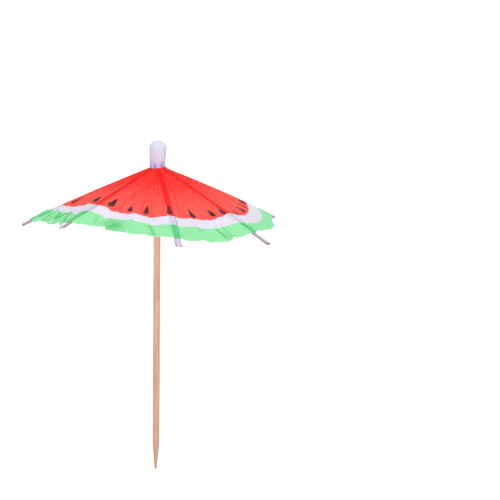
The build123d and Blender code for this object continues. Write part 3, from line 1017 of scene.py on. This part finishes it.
def runner_piece():
    low, high = box_of("runner")
    bottom, top = low[2], high[2]
    lap_top = top - LAP_BELOW_TOP
    plain = np.arange(bottom, top - 1.6, 0.2)
    slitted = np.arange(top - 1.4, top, 0.07)
    heights = np.sort([*plain, lap_top - LAP_STEP, lap_top + LAP_STEP, *slitted, top])
    inside = [(RUNNER_HOLE, z) for z in (top, (top + bottom) / 2, bottom)]
    profile = [(RUNNER_HOLE, bottom), *[(RUNNER_RADIUS, z) for z in heights], *inside]

    def cut(theta, r, z):
        below = top - z
        return slit_depth(theta, 1.9, below, 0.46, 0.34, 1.2) * (below < 1.9) * (r > RUNNER_HOLE + 0.01)

    def shape(theta, r, z):
        outer = (r > RUNNER_HOLE + 0.01).astype(float)
        lapped = ease(theta, LAP_START - 0.01, LAP_START + 0.02) * ease(theta, LAP_END + 0.02, LAP_END - 0.01)
        lapped = lapped * ease(z, lap_top + LAP_STEP, lap_top - LAP_STEP)
        crepe = 0.015 * ring_noise(theta, z, 40, 0.7, 31)
        new = r + outer * (lapped * LAP_HEIGHT + crepe - 0.015) - cut(theta, r, z)
        return new, 0, z

    paint = pulp("pulp_runner", (234, 231, 240), (206, 200, 224), bottom - 6, bottom - 1)
    piece = turned("runner_roll", profile, 240, shape, paint, 45, cut)
    dress(piece, "runner", "runner")


RING_HOLE = 1.07


def ring_piece():
    low, high = box_of("lock_ring")
    middle, half = (low[2] + high[2]) / 2, (high[2] - low[2]) / 2
    mean, wall = (high[0] + RING_HOLE) / 2, (high[0] - RING_HOLE) / 2
    profile = []
    for angle in np.linspace(0, 2 * math.pi, 29):
        outward = math.copysign(abs(math.cos(angle)) ** 0.6, math.cos(angle))
        upward = math.copysign(abs(math.sin(angle)) ** 0.5, math.sin(angle))
        profile.append((mean + wall * outward, middle + half * upward))
    profile[-1] = profile[0]

    piece = turned("lock_band", profile, 96, lambda theta, r, z: (r, 0, z), plastic("plastic_pink"), 70)
    dress(piece, "lock_ring", "lock_ring")


PICK_POINT, PICK_TIP, PICK_LEAN, PICK_SHRINK = 8.5, 0.26, -0.1, 0.005


def pick_piece():
    _, high = box_of("pick")
    top, radius = high[2], high[0]
    tip_heights = [0.0, 0.05, 0.12, 0.22, 0.36]
    point_heights = np.arange(0.6, PICK_POINT + 2, 0.3)
    profile = []
    for z in [*tip_heights, *point_heights, *np.arange(PICK_POINT + 2, top, 1.2), top]:
        r = PICK_TIP + (radius - PICK_TIP) * min(z / PICK_POINT, 1) ** 0.92
        profile.append((r * math.sqrt(min(1, (z + 0.02) / 0.3)), z))

    def shape(theta, r, z):
        groove = 0.012 * ring_noise(theta, z, 18, 0.035, 41) + 0.01 * ring_noise(theta, z, 48, 0.08, 42)
        facet = 0.04 * np.cos(5 * theta + 0.6) * ease(z, PICK_POINT, 6) * ease(z, 0.2, 3)
        new = r * (1 - PICK_SHRINK + groove / radius + facet)
        lean = PICK_LEAN * ease(z, PICK_POINT, 0.0)
        return new, lean, z

    piece = turned("pick_stick", profile, 64, shape, wood("wood_pick"), 60)
    dress(piece, "pick", "stem")


crown_piece()
runner_piece()
ring_piece()
pick_piece()
roll_paint = board("roll_paper", (232, 224, 212), (206, 194, 178), (176, 160, 142), 1.0)
for node in ("crown_core", "spacer_roll"):
    frame["nodes"][node].data.materials.clear()
    frame["nodes"][node].data.materials.append(roll_paint)


# Floor, light and camera, in metres


def backdrop_share(tree):
    """1 for rays that see the background: from the camera, in gloss or through glass."""
    path = tree.nodes.new("ShaderNodeLightPath")
    seen = path.outputs["Is Camera Ray"]
    for other in ("Is Glossy Ray", "Is Transmission Ray"):
        join = tree.nodes.new("ShaderNodeMath")
        join.operation = "MAXIMUM"
        tree.links.new(seen, join.inputs[0])
        tree.links.new(path.outputs[other], join.inputs[1])
        seen = join.outputs["Value"]
    return seen


FLOOR_DROP, FLOOR_HALF, FLOOR_WHITE = 0.16, 8.0, 0.46
floor_square = ((-1, -1), (1, -1), (1, 1), (-1, 1))
floor_corners = [(x * FLOOR_HALF, y * FLOOR_HALF, -FLOOR_DROP) for x, y in floor_square]
floor_mesh = bpy.data.meshes.new("floor")
floor_mesh.from_pydata(floor_corners, [], [(0, 1, 2, 3)])
floor = placed("floor", floor_mesh)
floor_paint = Paint("floor_white")
floor_paint.look(Base_Color=(0.9, 0.9, 0.9, 1.0), Roughness=0.9)
seen_share = floor_paint.ramp(backdrop_share(floor_paint.tree), 0.0, 1.0, 0.0, FLOOR_WHITE)
glow = floor_paint.node("ShaderNodeEmission", {"Color": (1, 1, 1, 1), "Strength": seen_share})
floor_shaders = {0: floor_paint.shader.outputs["BSDF"], 1: glow.outputs["Emission"]}
lit_floor = floor_paint.node("ShaderNodeAddShader", floor_shaders)
floor_paint.put(floor_paint.output.inputs["Surface"], lit_floor.outputs["Shader"])
floor_mesh.materials.append(floor_paint.material)

WORLD_LEVEL = 0.79
world = bpy.data.worlds.new("studio")
bpy.context.scene.world = world
world.use_nodes = True
sky = world.node_tree
background = sky.nodes["Background"]
level = sky.nodes.new("ShaderNodeMapRange")
sky.links.new(backdrop_share(sky), level.inputs["Value"])
level.inputs["To Min"].default_value = WORLD_LEVEL
level.inputs["To Max"].default_value = 1.0
background.inputs["Color"].default_value = (1, 1, 1, 1)
sky.links.new(level.outputs["Result"], background.inputs["Strength"])


def lamp(name, place, aim, size, power):
    data = bpy.data.lights.new(name, "AREA")
    data.shape = "DISK"
    data.size = size
    data.energy = power
    made = placed(name, data)
    made.location = place
    direction = Vector(np.array(aim) - np.array(place))
    made.rotation_euler = direction.to_track_quat("-Z", "Y").to_euler()


lamp("key", (0.55, -0.7, 0.5), (0, 0, 0.07), 0.6, 2.0)
lamp("fill", (-0.36, -0.93, 0.02), (0, 0, 0.06), 0.6, 2.45)
lamp("top", (0.0, -0.1, 0.9), (0, 0, 0.08), 0.7, 1.3)

CAMERA_DISTANCE, CAMERA_AIM, CAMERA_SHIFT = 0.65, 0.0682, 0.186
CAMERA_RISE, CAMERA_ROLL = math.radians(11), math.radians(0.3)
CAMERA_LENS, CAMERA_SENSOR = 156.1, 36
camera_data = bpy.data.cameras.new("camera")
camera_data.lens = CAMERA_LENS
camera_data.sensor_width = CAMERA_SENSOR
camera_data.shift_x = CAMERA_SHIFT
camera_data.clip_start = 0.01
camera = placed("camera", camera_data)
camera.location = (
    0,
    -CAMERA_DISTANCE * math.cos(CAMERA_RISE),
    CAMERA_AIM + CAMERA_DISTANCE * math.sin(CAMERA_RISE),
)
camera.rotation_euler = (math.pi / 2 - CAMERA_RISE, 0, 0)
camera.rotation_euler.rotate_axis("Z", CAMERA_ROLL)
bpy.context.scene.camera = camera
bpy.context.scene.view_settings.view_transform = "Standard"
